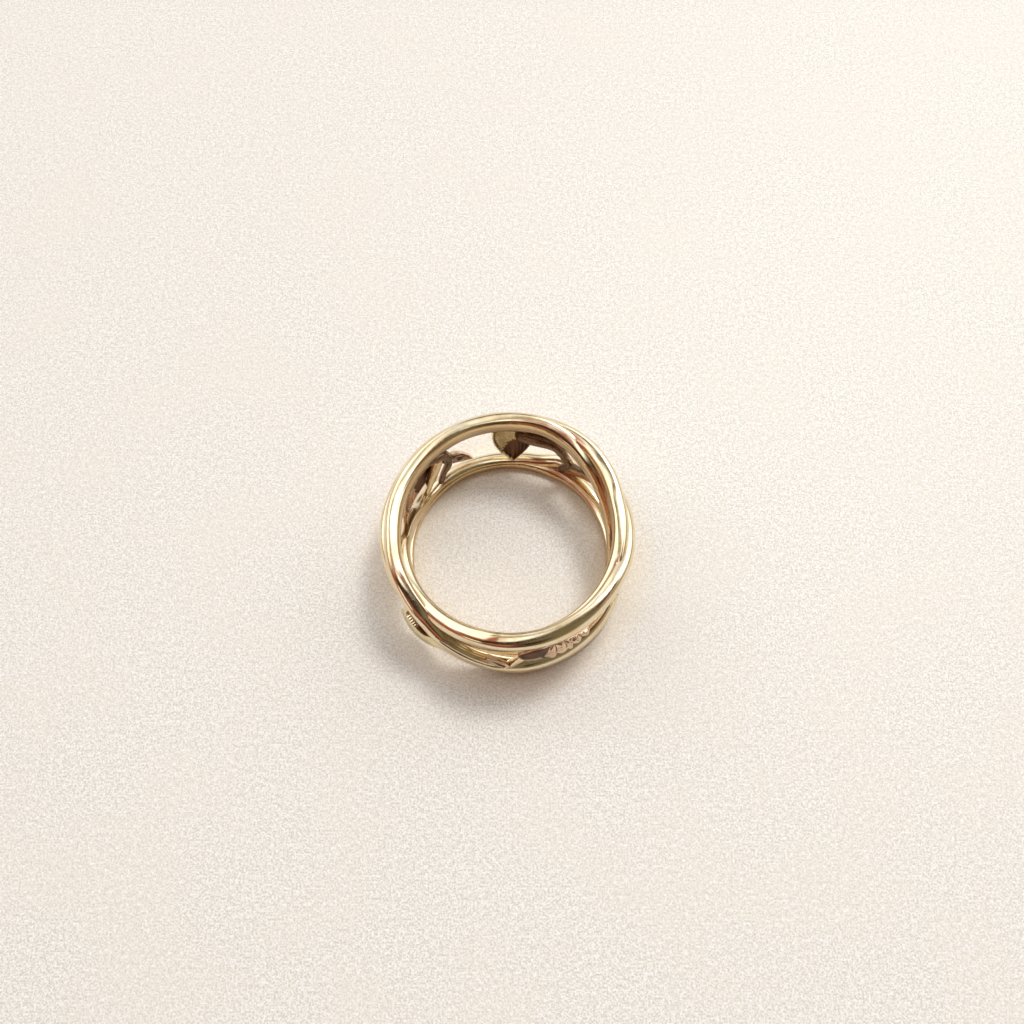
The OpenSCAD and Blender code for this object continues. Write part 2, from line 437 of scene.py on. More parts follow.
def make_stem(rows, steps, sides, grow, source):
    """A tapered round bar on a smooth curve through the rows, with round ends."""
    angle, height, distance, thickness = np.array(rows, float).T
    knots = np.column_stack([on_ring(distance, angle, height), thickness / 2])
    path = smooth_path(knots, steps)
    centre, radius = path[:, :3], path[:, 3] + grow
    along = np.gradient(centre, axis=0)
    along /= np.linalg.norm(along, axis=1)[:, None]
    cap = np.radians(CAP_DEGREES)

    def end_ring(end, way, c):
        place = centre[end] + way * along[end] * radius[end] * math.sin(c)
        return place, radius[end] * math.cos(c), along[end]

    first = [end_ring(0, -1, c) for c in cap]
    last = [end_ring(-1, 1, c) for c in cap[::-1]]
    rings = first + list(zip(centre, radius, along)) + last
    side = np.cross(along[0], (0, 0, 1.0))
    side /= np.linalg.norm(side)
    points = []
    for middle, size, ahead in rings:
        side = side - ahead * np.dot(side, ahead)
        side /= np.linalg.norm(side)
        up = np.cross(ahead, side)
        for k in range(sides):
            a = 2 * math.pi * k / sides
            points.append(middle + size * (side * math.cos(a) + up * math.sin(a)))
    points.append(centre[0] - along[0] * radius[0])
    points.append(centre[-1] + along[-1] * radius[-1])
    return new_object("stem", points, capped_tube(len(rings), sides), source)


def make_box(low, high, source):
    """A box from its lowest to its highest corner."""
    points = list(itertools.product(*zip(low, high)))
    faces = [(0, 1, 3, 2), (4, 6, 7, 5), (0, 4, 5, 1), (2, 3, 7, 6), (0, 2, 6, 4), (1, 5, 7, 3)]
    return new_object("box", points, faces, source)


# Sources of the band's faces: each wire, then each stem, then the filed foot

FIRST_STEM = len(WIRES)
FOOT_CUT = 50

# Sources of a leaf's faces: bright metal, dull brown metal that is patina and
# painted shade in the leaf's hollows, grooves and dints, and from 20 on the cuts
# where the leaf meets the wires and stems

BRIGHT, DULL_SHADED, SEAMS = 0, 1, 20


def make_metalwork(name, rings, sides, steps, grow, first):
    """All the wires and stems as one closed mesh, larger by grow on every side.
    Its faces' sources count up from first."""
    whole = None
    for wire, (table, height) in enumerate(WIRES):
        piece = make_wire(table, height, rings, sides, grow, wire, first + wire)
        whole = piece if whole is None else combine(whole, piece, "UNION")
    for number, rows in enumerate(STEMS):
        piece = make_stem(rows, steps, STEM_SIDES, grow, first + FIRST_STEM + number)
        whole = combine(whole, piece, "UNION")
    whole.name = name
    return whole


# Leaves

BASE_ANGLE, BASE_Z, HEADING, LENGTH, WIDTH, BEND, DOME, BASE_R, TIP_R = range(9)

# Places across a leaf, from rim to rim, and how far its front stands up there, in
# shares of the groove along the midrib

LEAF_ACROSS = [-1.00, -0.84, -0.45, -0.10, 0.00, 0.10, 0.45, 0.84, 1.00]
LEAF_RELIEF = [0.3, -0.2, 0.2, 0.1, -1.0, 0.1, 0.2, -0.2, 0.3]

# How far the veins sweep forward, how much of the pointed outline is left off at
# the base, and the number of side veins

VEIN_SWEEP = 0.1
BASE_SHARE = 0.12
SIDE_VEINS = 12

# The edge is rounded over EDGE_ROUND millimetres and loses EDGE_THINNING of its
# thickness. A power above 1 crowds the mesh's columns towards the rims

EDGE_ROUND = 0.16
EDGE_THINNING = 0.45
COLUMN_CROWDING = 1.35


def half_width(leaf, u):
    """Half the leaf's width, in millimetres, at a share u of its length."""
    s = np.sin(np.pi * (BASE_SHARE + (1 - BASE_SHARE) * u) ** 0.85)
    return leaf[WIDTH] / 2 * np.maximum(0.02, np.maximum(s, 0) ** 0.9)


def midrib(leaf, u):
    """Place of the midrib, in millimetres round the ring and up."""
    turn = 1 if abs(leaf[BEND]) < 1 else leaf[BEND]
    start = leaf[HEADING] - turn / 2
    radius = leaf[LENGTH] * 180 / (math.pi * turn)
    a, b = np.radians(start + turn * u), math.radians(start)
    return radius * (np.sin(a) - math.sin(b)), radius * (math.cos(b) - np.cos(a))


def bump(x, width):
    """A round bump, 1 in the middle and 0 past width on either side."""
    return np.sqrt(np.maximum(0, 1 - (x / width) ** 2))


def smooth(x, low, high):
    """Rises smoothly from 0 at low to 1 at high."""
    s = np.clip((x - low) / (high - low), 0, 1)
    return s * s * (3 - 2 * s)


# Beads, in millimetres. BEAD_SHARE is how much of the pitch a bead takes up on
# either side of its middle

BEAD_PITCH = 0.22
BEAD_R = 0.105
BEAD_H = 0.09
BEAD_SHARE = 0.46


def beads(along_mm, across_mm):
    """A row of half round beads."""
    s = along_mm / BEAD_PITCH
    lengthwise = (s - np.round(s)) / BEAD_SHARE
    return BEAD_H * np.sqrt(np.maximum(0, 1 - (across_mm / BEAD_R) ** 2 - lengthwise**2))


# Heights and depths of the relief in millimetres, and how far apart it repeats

LIP_H = 0.05
CUT_DEPTH, CUT_PITCH = 0.075, 0.42
DISH_DEPTH = 0.24
BOWL_DEPTH, BOWL_SLOPE = 0.27, 0.45
LUMP_H = 0.26
FINE_CUT_H, FINE_CUT_PITCH = 0.04, 0.34
DINT_H = 0.015
FOLD_H, FOLD_RIM_H = 0.14, 0.08
HATCH_H, HATCH_PITCH = 0.03, 0.33
HOLLOW_RIB_H, HOLLOW_RIB_PITCH = 0.02, 0.36
RIB_H, RIB_HALF = 0.12, 0.16

# Each of these gives the relief on one side of a leaf, outward from its surface,
# and where that side is dull brown, as patina and painted shade


def engraved_front(leaf, along, v, u):
    """Side veins, slanting cuts, a lip at the rim and a row of beads inside it."""
    half = half_width(leaf, u)
    side = np.abs(v)
    ridge = VEIN * (1 + np.cos(np.pi * along * SIDE_VEINS)) / 2 * (1 - side)
    inner = np.clip((0.72 - side) / 0.12, 0, 1) * np.clip((side - 0.06) / 0.08, 0, 1)
    phase = (along * leaf[LENGTH] - 0.5 * side * half) / CUT_PITCH
    wave = np.abs(phase - np.round(phase)) * 2
    cut = -CUT_DEPTH * np.clip(1 - wave / 0.55, 0, 1) * inner
    rim_gap = (1 - side) * half
    lip = LIP_H * bump(rim_gap - 0.10, 0.12)
    room = np.clip((half - 0.55) / 0.15, 0, 1)
    fade = np.clip(np.sin(np.pi * u) * 3, 0, 1)
    groove = GROOVE * np.interp(v, LEAF_ACROSS, LEAF_RELIEF) * np.sin(np.pi * u)
    relief = (ridge + cut + lip + room * beads(along * leaf[LENGTH], rim_gap - 0.36)) * fade
    return groove + relief, np.zeros_like(u, bool)


def dished_front(leaf, along, v, u):
    """A wide polished rim round a dish that is dull brown as patina and painted shade, with beads at
    the dish's base end.
    """
    edge = 0.56 + 0.4 * smooth(u, 0.50, 0.85) + 0.9 * smooth(0.10 - u, 0.0, 0.10)
    gap = (v - edge) * half_width(leaf, u)
    relief = -DISH_DEPTH * smooth(gap, 0.0, 0.14)
    row = beads(along * leaf[LENGTH], gap - 0.08) * smooth(0.40 - u, 0.0, 0.04)
    return relief + row, (gap > 0.06) & (row < 0.02)


def bowl_front(leaf, along, v, u):
    """A polished lip round a smooth hollow, dull brown along its upper side as patina and painted
    shade.
    """
    rim_gap = (1 - np.abs(v)) * half_width(leaf, u)
    gap = np.minimum(rim_gap, np.minimum(u, 1 - u) * leaf[LENGTH])
    bowl = np.clip((gap - 0.08) / BOWL_SLOPE, 0, 1)
    relief = LIP_H * bump(gap - 0.06, 0.08) - BOWL_DEPTH * bowl * (2 - bowl)
    relief = np.maximum(relief - 0.3 * smooth(0.16 - u, 0.0, 0.16), -0.33)
    return relief, (gap > 0.14) & (v < -0.15)


# Where the carved scales begin along a leaf, and how each leans

SCALE_STARTS = [0.34, 0.45, 0.60, 0.69, 0.83, 1.0]
SCALE_LEANS = np.array([0.05, 0.35, -0.25, 0.30, -0.10, 0.0])


def scaled_front(leaf, along, v, u):
    """Carved lumps of uneven length with fine cuts, past a smooth round base."""
    half = half_width(leaf, u)
    numbers = np.arange(len(SCALE_STARTS))
    first = np.interp(along, SCALE_STARTS, numbers)
    lean = SCALE_LEANS[np.floor(first).astype(int)]
    scale = np.interp(along + 0.07 * v * v + 0.08 * lean * v, SCALE_STARTS, numbers)
    rise = scale - np.floor(scale)
    lump = LUMP_H * np.sin(np.pi * rise**1.3) ** 0.8 * (0.6 + 0.4 * np.cos(1.4 * v - 2 * lean))
    slant = v * half + 0.25 * rise
    cuts = FINE_CUT_H * np.cos(2 * np.pi * slant / FINE_CUT_PITCH + 9 * lean)
    worked = smooth(along, 0.30, 0.36)
    rim = beads(v * half, (along - 0.34) * leaf[LENGTH])
    body = 0.10 * bump(along - 0.16, 0.17) - 0.12 - 0.15 * smooth(0.07 - along, 0.0, 0.07)
    relief = (lump - 0.10 + cuts * smooth(rise, 0.2, 0.5)) * worked + rim + body * (1 - worked)
    # Dull brown patina and painted shade: a band behind the scales, the base's upper side and the
    # grooves where scales begin
    stained_and_shaded = ((along > 0.28) & (along < 0.32)) | ((along < 0.30) & (v > 0.15))
    return relief, (stained_and_shaded | ((rise < 0.07) & (along > 0.38))) & (rim < 0.02)


def plain_back(leaf, along, v, u):
    """Smooth and bright."""
    return np.zeros_like(u), np.zeros_like(u, bool)


def hammered_back(leaf, along, v, u):
    """Bright, with hammered dints whose hollows are dull brown as patina and painted shade."""
    across = v * half_width(leaf, u)
    length = along * leaf[LENGTH]
    dints = np.cos(7 * length + 3 * across) + np.cos(9 * across - 2 * length)
    dints = dints + np.cos(4 * length + 6 * across)
    return DINT_H * dints, (dints < -0.4) & (u < 0.8)


def folded_back(leaf, along, v, u):
    """A worked fold over the upper part, edged with beads, above a faintly ribbed
    hollow that is dull brown as patina and painted shade, with a bright rim."""
    line = 0.58 + 0.16 * smooth(v, -0.3, 1.0) - 0.5 * np.clip((-0.5 - v) / 0.4, 0, 1)
    gap = (line - u) * leaf[LENGTH]
    rim_gap = (1 - v) * half_width(leaf, u)
    hatch = HATCH_H * np.cos((along * leaf[LENGTH] + 0.6 * v) * 2 * np.pi / HATCH_PITCH)
    relief = (FOLD_H + hatch) * smooth(gap, -0.05, 0.05)
    relief = relief + FOLD_RIM_H * bump(rim_gap - 0.12, 0.14)
    across = v * half_width(leaf, u)
    row = beads(across, gap)
    ribs = HOLLOW_RIB_H * np.cos(across * 2 * np.pi / HOLLOW_RIB_PITCH)
    ribs = ribs * smooth(-gap, 0.15, 0.4)
    return relief + row + ribs, (gap < -0.12) & (rim_gap > 0.24)


def ribbed_back(leaf, along, v, u):
    """A bright beaded rib above a hollow that is dull brown as patina and painted shade, and beads near
    the tip.
    """
    across = v * half_width(leaf, u)
    length = along * leaf[LENGTH]
    rib = RIB_H * bump(across + 0.45, RIB_HALF) + beads(length, across + 0.45)
    ends = beads(length, across + 0.75) + beads(length + BEAD_PITCH / 2, across + 0.95)
    ends = ends * smooth(u, 0.52, 0.56)
    return rib + ends, (across < -0.55) & (u < 0.60) & (ends < 0.02)


LEAF_DETAIL = {
    "leaf_far": (engraved_front, folded_back),
    "leaf_left": (engraved_front, hammered_back),
    "leaf_left_long": (engraved_front, ribbed_back),
    "leaf_near_left": (dished_front, plain_back),
    "leaf_near_curled": (bowl_front, plain_back),
    "leaf_near_rose": (scaled_front, plain_back),
    "leaf_near_tip": (engraved_front, plain_back),
}

# The two sides of a leaf, in the order of their points

BACK, FRONT = 0, 1


def leaf_sides(leaf, front_detail, back_detail):
    """Points of a leaf's back and front, and where each side is dull brown, as patina and painted
    shade.
    """
    lengthwise = np.linspace(0, 1, LEAF_ROWS)
    crosswise = np.linspace(-1, 1, LEAF_COLUMNS)
    crosswise = np.sign(crosswise) * (1 - (1 - np.abs(crosswise)) ** COLUMN_CROWDING)
    along, v = np.meshgrid(lengthwise, crosswise, indexing="ij")
    u = np.clip(along + VEIN_SWEEP * np.abs(v) * np.sin(np.pi * along), 0, 1)
    heading = np.radians(leaf[HEADING] + leaf[BEND] * (u - 0.5))
    rib_x, rib_y = midrib(leaf, u)
    half = half_width(leaf, u)
    px = rib_x - v * half * np.sin(heading)
    py = rib_y + v * half * np.cos(heading)
    angle = leaf[BASE_ANGLE] + np.degrees(px / leaf[BASE_R])
    z = leaf[BASE_Z] + py

    crown = (1 - v * v) * np.sin(np.pi * (0.1 + 0.85 * u)) ** 0.7
    rim_r = leaf[BASE_R] * (1 - u) + leaf[TIP_R] * u
    middle = rim_r + leaf[DOME] * crown
    edge = np.clip((np.abs(v) * half - (half - EDGE_ROUND)) / EDGE_ROUND, 0, 1)
    thin = 1 - EDGE_THINNING * (1 - np.sqrt(1 - edge**2))
    inward, dull_shaded_back = back_detail(leaf, along, v, u)
    outward, dull_shaded_front = front_detail(leaf, along, v, u)
    back = middle - LEAF_T / 2 * thin - inward * (1 - edge**4)
    front = middle + LEAF_T / 2 * thin + outward * (1 - edge**4)
    points = np.stack([on_ring(back, angle, z), on_ring(front, angle, z)])
    return points, np.stack([dull_shaded_back, dull_shaded_front])


def leaf_faces():
    """Faces of a leaf's back, then of its front, then of the edge between them."""

    def corner(side, row, column):
        return (side * LEAF_ROWS + row) * LEAF_COLUMNS + column

    def quads(*corners):
        return np.stack(corners, -1).reshape(-1, 4).tolist()

    def wall(first, second, turned):
        """Faces from back to front along an edge of the leaf, from a first corner to
        a second, turned round where they would face inward."""
        low = corner(BACK, *first), corner(BACK, *second)
        high = corner(FRONT, *first), corner(FRONT, *second)
        if turned:
            return quads(low[0], high[0], high[1], low[1])
        return quads(low[0], low[1], high[1], high[0])

    last_row, last_column = LEAF_ROWS - 1, LEAF_COLUMNS - 1
    rows, columns = np.arange(last_row), np.arange(last_column)
    a, b = np.meshgrid(rows, columns, indexing="ij")
    faces = quads(
        corner(BACK, a, b),
        corner(BACK, a, b + 1),
        corner(BACK, a + 1, b + 1),
        corner(BACK, a + 1, b),
    )
    faces += quads(
        corner(FRONT, a, b),
        corner(FRONT, a + 1, b),
        corner(FRONT, a + 1, b + 1),
        corner(FRONT, a, b + 1),
    )
    faces += wall((rows, 0), (rows + 1, 0), False)
    faces += wall((rows, last_column), (rows + 1, last_column), True)
    faces += wall((0, columns), (0, columns + 1), True)
    faces += wall((last_row, columns), (last_row, columns + 1), False)
    return faces


def make_leaf(name, leaf, front_detail, back_detail):
    """A closed domed leaf that lies on the ring, with relief on both sides."""
    points, dull_shaded = leaf_sides(leaf, front_detail, back_detail)
    faces = leaf_faces()
    # Dull faces take the brown finish that is patina and painted shade
    source = np.where(dull_shaded[:, :-1, :-1].reshape(-1), DULL_SHADED, BRIGHT).tolist()
    source += [BRIGHT] * (len(faces) - len(source))
    return new_object(name, points, faces, source)


def finish_mesh(obj, node, bright, dull_shaded, dull_shaded_sources, sharp_angle):
    """Millimetres to metres, smooth faces, and the finish of each source."""
    mesh = obj.data
    mesh.transform(Matrix.Scale(MM, 4))
    mesh.polygons.foreach_set("use_smooth", [True] * len(mesh.polygons))
    mesh.set_sharp_from_angle(angle=math.radians(sharp_angle))
    mesh.materials.clear()
    mesh.materials.append(bright)
    mesh.materials.append(dull_shaded)
    source = np.zeros(len(mesh.polygons), np.int32)
    mesh.attributes[SOURCE].data.foreach_get("value", source)
    mesh.polygons.foreach_set("material_index", np.isin(source, dull_shaded_sources).astype(np.int32))
    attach(obj, "root")
    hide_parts(node)


# Materials. These are the sockets of a Mix node that mixes colours

MIX_FIRST, MIX_SECOND, MIX_RESULT = 6, 7, 2


class Nodes:
    """Short calls for building the nodes of a material or of the world."""

    def __init__(self, owner):
        owner.use_nodes = True
        self.tree = owner.node_tree

    def add(self, kind, inputs=None, **settings):
        node = self.tree.nodes.new(kind)
        for key, value in settings.items():
            setattr(node, key, value)
        for key, value in (inputs or {}).items():
            self.put(node.inputs[key], value)
        return node

    def put(self, socket, value):
        if isinstance(value, bpy.types.NodeSocket):
            self.tree.links.new(value, socket)
        else:
            socket.default_value = value

    def math(self, operation, a, b=0.0, clamp=False):
        node = self.add("ShaderNodeMath", {0: a, 1: b}, operation=operation, use_clamp=clamp)
        return node.outputs[0]

    def mix(self, share, a, b):
        colours = {0: share, MIX_FIRST: a, MIX_SECOND: b}
        return self.add("ShaderNodeMix", colours, data_type="RGBA").outputs[MIX_RESULT]

    def span(self, value, low, high, to_low, to_high):
        """Goes smoothly from to_low to to_high while value goes from low to high."""
        node = self.add(
            "ShaderNodeMapRange",
            {"Value": value, "From Min": low, "From Max": high, "To Min": to_low, "To Max": to_high},
            interpolation_type="SMOOTHSTEP",
        )
        return node.outputs[0]

    def noise(self, place, scale, detail):
        inputs = {"Vector": place, "Scale": scale, "Detail": detail}
        return self.add("ShaderNodeTexNoise", inputs).outputs[0]


# Scales of the noise in the gold, per millimetre: slow drift of the colour, clouds
# of tarnish, hair scratches and pits

DRIFT, CLOUD, HAIRS, PITS = 0.45, 2.2, 0.7, 9.0

# Noise drawn out round the ring, for the brushed grain and for the slow waves of a
# drawn wire: its scale round the ring a radian, then up and outward a millimetre

GRAIN_ROUND, GRAIN_ACROSS = 9.0, 14.0
WAVE_ROUND, WAVE_ACROSS = 1.8, 0.75

# Reach of the dirt and painted shade in corners and depths of the bumps, in metres

DIRT_AND_SHADE_REACH = 0.0009
WAVE_DEPTH, GRAIN_DEPTH, LINE_DEPTH = 0.00018, 0.000008, 0.000012

# Lines engraved on the low wire at the near left: where they fade in and out round
# the ring in radians, where they fade out upward and in outward in millimetres, and
# the radians of their wave to a millimetre outward

LINES_START, LINES_END = (-2.30, -2.20), (-1.72, -1.62)
LINES_TOP, LINES_INNER = (4.6, 5.0), (10.1, 10.3)
LINE_RATE = 25.0

# A place on the gold in millimetres, with r its distance from the finger's axis

Spot = namedtuple("Spot", "x y z r")


def ring_noise(n, spot, around, across, detail):
    """Noise drawn out round the ring."""
    round_x = n.math("MULTIPLY", n.math("DIVIDE", spot.x, spot.r), around)
    round_y = n.math("MULTIPLY", n.math("DIVIDE", spot.y, spot.r), around)
    upward = n.math("MULTIPLY", spot.z, across)
    flow = n.add("ShaderNodeCombineXYZ", {0: round_x, 1: round_y, 2: upward}).outputs[0]
    outward = n.math("MULTIPLY", spot.r, across)
    inputs = {"Vector": flow, "W": outward, "Scale": 1.0, "Detail": detail}
    return n.add("ShaderNodeTexNoise", inputs, noise_dimensions="4D").outputs[0]


def facing_outward(n, spot):
    """How far a surface faces outward, from -1 towards the finger to 1."""
    facing = n.add("ShaderNodeSeparateXYZ", {0: n.add("ShaderNodeTexCoord").outputs["Normal"]})
    out_x = n.math("MULTIPLY", spot.x, facing.outputs["X"])
    out_y = n.math("MULTIPLY", spot.y, facing.outputs["Y"])
    return n.math("DIVIDE", n.math("ADD", out_x, out_y), spot.r)


def engraved_lines(n, spot):
    """Height of the lines engraved on the low wire."""
    angle = n.math("ARCTAN2", spot.y, spot.x)
    lined = n.span(angle, *LINES_START, 0.0, 1.0)
    lined = n.math("MULTIPLY", lined, n.span(angle, *LINES_END, 1.0, 0.0))
    lined = n.math("MULTIPLY", lined, n.span(spot.z, *LINES_TOP, 1.0, 0.0))
    lined = n.math("MULTIPLY", lined, n.span(spot.r, *LINES_INNER, 0.0, 1.0))
    return n.math("MULTIPLY", n.math("SINE", n.math("MULTIPLY", spot.r, LINE_RATE)), lined)


def gold_bumps(n, mm, spot, brushed):
    """Normal of worked gold: waves, then brushing and hair scratches, then lines."""
    wave = ring_noise(n, spot, WAVE_ROUND, WAVE_ACROSS, 0.0)
    waves = n.add("ShaderNodeBump", {"Height": wave, "Strength": 1.0, "Distance": WAVE_DEPTH})
    grain = ring_noise(n, spot, GRAIN_ROUND, GRAIN_ACROSS, 4.0)
    off_middle = n.math("ABSOLUTE", n.math("SUBTRACT", n.noise(mm, HAIRS, 0.0), 0.5))
    hair = n.span(off_middle, 0.0, 0.003, 1.0, 0.0)
    height = n.math("MULTIPLY", grain, brushed)
    height = n.math("SUBTRACT", height, n.math("MULTIPLY", hair, 0.05))
    inputs = {"Height": height, "Strength": 0.5, "Distance": GRAIN_DEPTH, "Normal": waves.outputs[0]}
    fine = n.add("ShaderNodeBump", inputs)
    lines = engraved_lines(n, spot)
    inputs = {"Height": lines, "Strength": 1.0, "Distance": LINE_DEPTH, "Normal": fine.outputs[0]}
    return n.add("ShaderNodeBump", inputs).outputs[0]


def gold(name, bright, deep, inner_shade, dirt_and_shade_colour, shine, brushed, reach):
    """Worked gold: its colour drifts a little, faces towards the finger take a richer,
    darker colour that is painted shade and bounce light (on the stems also patina),
    dirt and painted shade darken the corners, fine scratches run round the ring, and
    a few lines are engraved on the low wire at the near left."""
    material = bpy.data.materials.new(name)
    n = Nodes(material)
    shader = n.tree.nodes["Principled BSDF"]
    place = n.add("ShaderNodeTexCoord").outputs["Object"]
    mm = n.add("ShaderNodeVectorMath", {0: place, "Scale": 1 / MM}, operation="SCALE").outputs[0]
    x, y, z = n.add("ShaderNodeSeparateXYZ", {0: mm}).outputs
    r = n.math("SQRT", n.math("ADD", n.math("MULTIPLY", x, x), n.math("MULTIPLY", y, y)))
    spot = Spot(x, y, z, r)
    drift = n.noise(mm, DRIFT, 3.0)
    cloud = n.noise(mm, CLOUD, 4.0)
    # Dirt and painted shade darken the corners that ambient occlusion finds
    open_sky = n.add("ShaderNodeAmbientOcclusion", {"Distance": DIRT_AND_SHADE_REACH}, samples=8).outputs["AO"]
    corners = n.span(open_sky, 0.15, 0.7, 1.0, 0.0)
    dirt_and_shade = n.math("MULTIPLY", corners, n.span(cloud, 0.3, 0.6, 0.5, 1.0))

    tone = n.mix(n.span(drift, 0.3, 0.7, 0.0, 1.0), bright, deep)
    tone = n.mix(n.math("MULTIPLY", n.span(cloud, 0.55, 0.8, 0.0, 1.0), 0.25), tone, deep)
    # Painted shade and bounce light: faces towards the finger take the inner colour
    inside = n.span(facing_outward(n, spot), reach - 0.6, reach, 0.9, 0.0)
    tone = n.mix(inside, tone, inner_shade)
    colour = n.mix(n.math("MULTIPLY", dirt_and_shade, 0.7), tone, dirt_and_shade_colour)

    pit = n.span(n.noise(mm, PITS, 2.0), 0.66, 0.74, 0.0, 1.0)
    rough = n.span(cloud, 0.3, 0.75, shine, shine + 0.1)
    rough = n.math("ADD", rough, n.math("MULTIPLY", pit, 0.12))
    rough = n.math("ADD", rough, n.math("MULTIPLY", dirt_and_shade, 0.25), clamp=True)

    n.put(shader.inputs["Base Color"], colour)
    shader.inputs["Metallic"].default_value = 1.0
    n.put(shader.inputs["Roughness"], rough)
    n.put(shader.inputs["Normal"], gold_bumps(n, mm, spot, brushed))
    return material


# Finishes: colour, deeper colour, colour on the faces towards the finger that is
# painted shade and bounce light (on the stems also patina), colour of the dirt and
# painted shade in corners, roughness, how strongly it is brushed, and how far round
# a wire the painted inner colour reaches, from -1 on its inner side to 1 on its outer side

# The inner colours are painted shade and bounce light on faces towards the finger
YELLOW, DEEP_YELLOW, INNER_SHADE_YELLOW = (0.92, 0.81, 0.60, 1), (0.85, 0.69, 0.44, 1), (0.72, 0.53, 0.29, 1)
ROSE, DEEP_ROSE, INNER_SHADE_ROSE = (0.82, 0.62, 0.44, 1), (0.66, 0.44, 0.30, 1), (0.56, 0.36, 0.26, 1)
GREEN, DEEP_GREEN, INNER_SHADE_GREEN = (0.86, 0.77, 0.50, 1), (0.73, 0.62, 0.37, 1), (0.56, 0.44, 0.24, 1)
# Browns of the dull faces and the stems' inner sides: patina and painted shade
PATINA_AND_SHADE_BROWN, DARK_PATINA_AND_SHADE_BROWN = (0.15, 0.08, 0.048, 1), (0.08, 0.04, 0.025, 1)
# Colours of the dirt and painted shade in corners
YELLOW_DIRT_AND_SHADE, ROSE_DIRT_AND_SHADE, GREEN_DIRT_AND_SHADE = (0.20, 0.11, 0.05, 1), (0.13, 0.06, 0.04, 1), (0.15, 0.09, 0.04, 1)
BROWN_DIRT_AND_SHADE = (0.04, 0.02, 0.012, 1)
FINISHES = {
    "yellow_gold": (YELLOW, DEEP_YELLOW, INNER_SHADE_YELLOW, YELLOW_DIRT_AND_SHADE, 0.11, 0.4, -0.3),
    "rose_gold": (ROSE, DEEP_ROSE, INNER_SHADE_ROSE, ROSE_DIRT_AND_SHADE, 0.14, 1.0, -0.3),
    "green_gold": (GREEN, DEEP_GREEN, INNER_SHADE_GREEN, GREEN_DIRT_AND_SHADE, 0.12, 0.6, -0.3),
    "stem_gold": (YELLOW, DEEP_YELLOW, PATINA_AND_SHADE_BROWN, BROWN_DIRT_AND_SHADE, 0.24, 1.0, 0.85),
    "dull_shaded_gold": (PATINA_AND_SHADE_BROWN, DARK_PATINA_AND_SHADE_BROWN, PATINA_AND_SHADE_BROWN, BROWN_DIRT_AND_SHADE, 0.33, 2.0, -0.3),
}
FINISH = {name: gold(name, *row) for name, row in FINISHES.items()}

# The ring. A box with its top at the foot files the foot flat, and the stems that
# the photo shows dark get a finish of their own, brown on the side towards the
# finger as patina and painted shade

BOX_REACH, BOX_DEPTH = 20, 5
STAINED_AND_SHADED_STEMS = [STEM_ARCH, STEM_FORK, STEM_HOOK, STEM_KNOT]
STAINED_AND_SHADED_SOURCES = [FIRST_STEM + STEMS.index(rows) for rows in STAINED_AND_SHADED_STEMS]

band = make_metalwork("band_metal", BAND_RINGS, BAND_SIDES, BAND_STEPS, 0.0, 0)
below = make_box((-BOX_REACH, -BOX_REACH, -BOX_DEPTH), (BOX_REACH, BOX_REACH, 0), FOOT_CUT)
combine(band, below, "DIFFERENCE")

for node_name, leaf in LEAVES.items():
    front_detail, back_detail = LEAF_DETAIL[node_name]
    piece = make_leaf(node_name + "_metal", leaf, front_detail, back_detail)
    cutter = make_metalwork("cutter", CUTTER_RINGS, CUTTER_SIDES, CUTTER_STEPS, SEAM, SEAMS)
    combine(piece, cutter, "DIFFERENCE")
    slot_name = LEAF_SLOTS[node_name]
    bright = FINISH[slot_name]
    # The dull faces get the brown finish of patina and painted shade
    finish_mesh(piece, node_name, bright, FINISH["dull_shaded_gold"], [DULL_SHADED], LEAF_SHARP)

# The stems' brown side towards the finger is patina and painted shade
bright, stained_and_shaded = FINISH["yellow_gold"], FINISH["stem_gold"]
finish_mesh(band, "band", bright, stained_and_shaded, STAINED_AND_SHADED_SOURCES, BAND_SHARP)

# Floor: its colours, the last a painted warm shadow and bounce light near the ring, and half its width
# in metres

FLOOR_DARK, FLOOR_PALE = (0.645, 0.62, 0.565, 1), (0.92, 0.905, 0.86, 1)
FLOOR_WARM, SPARK = (0.82, 0.77, 0.70, 1), (0.97, 0.98, 1.0, 1)
PAINTED_GOLD_BOUNCE_AND_SHADOW = (0.84, 0.68, 0.46, 1)
FLOOR_REACH = 1.0


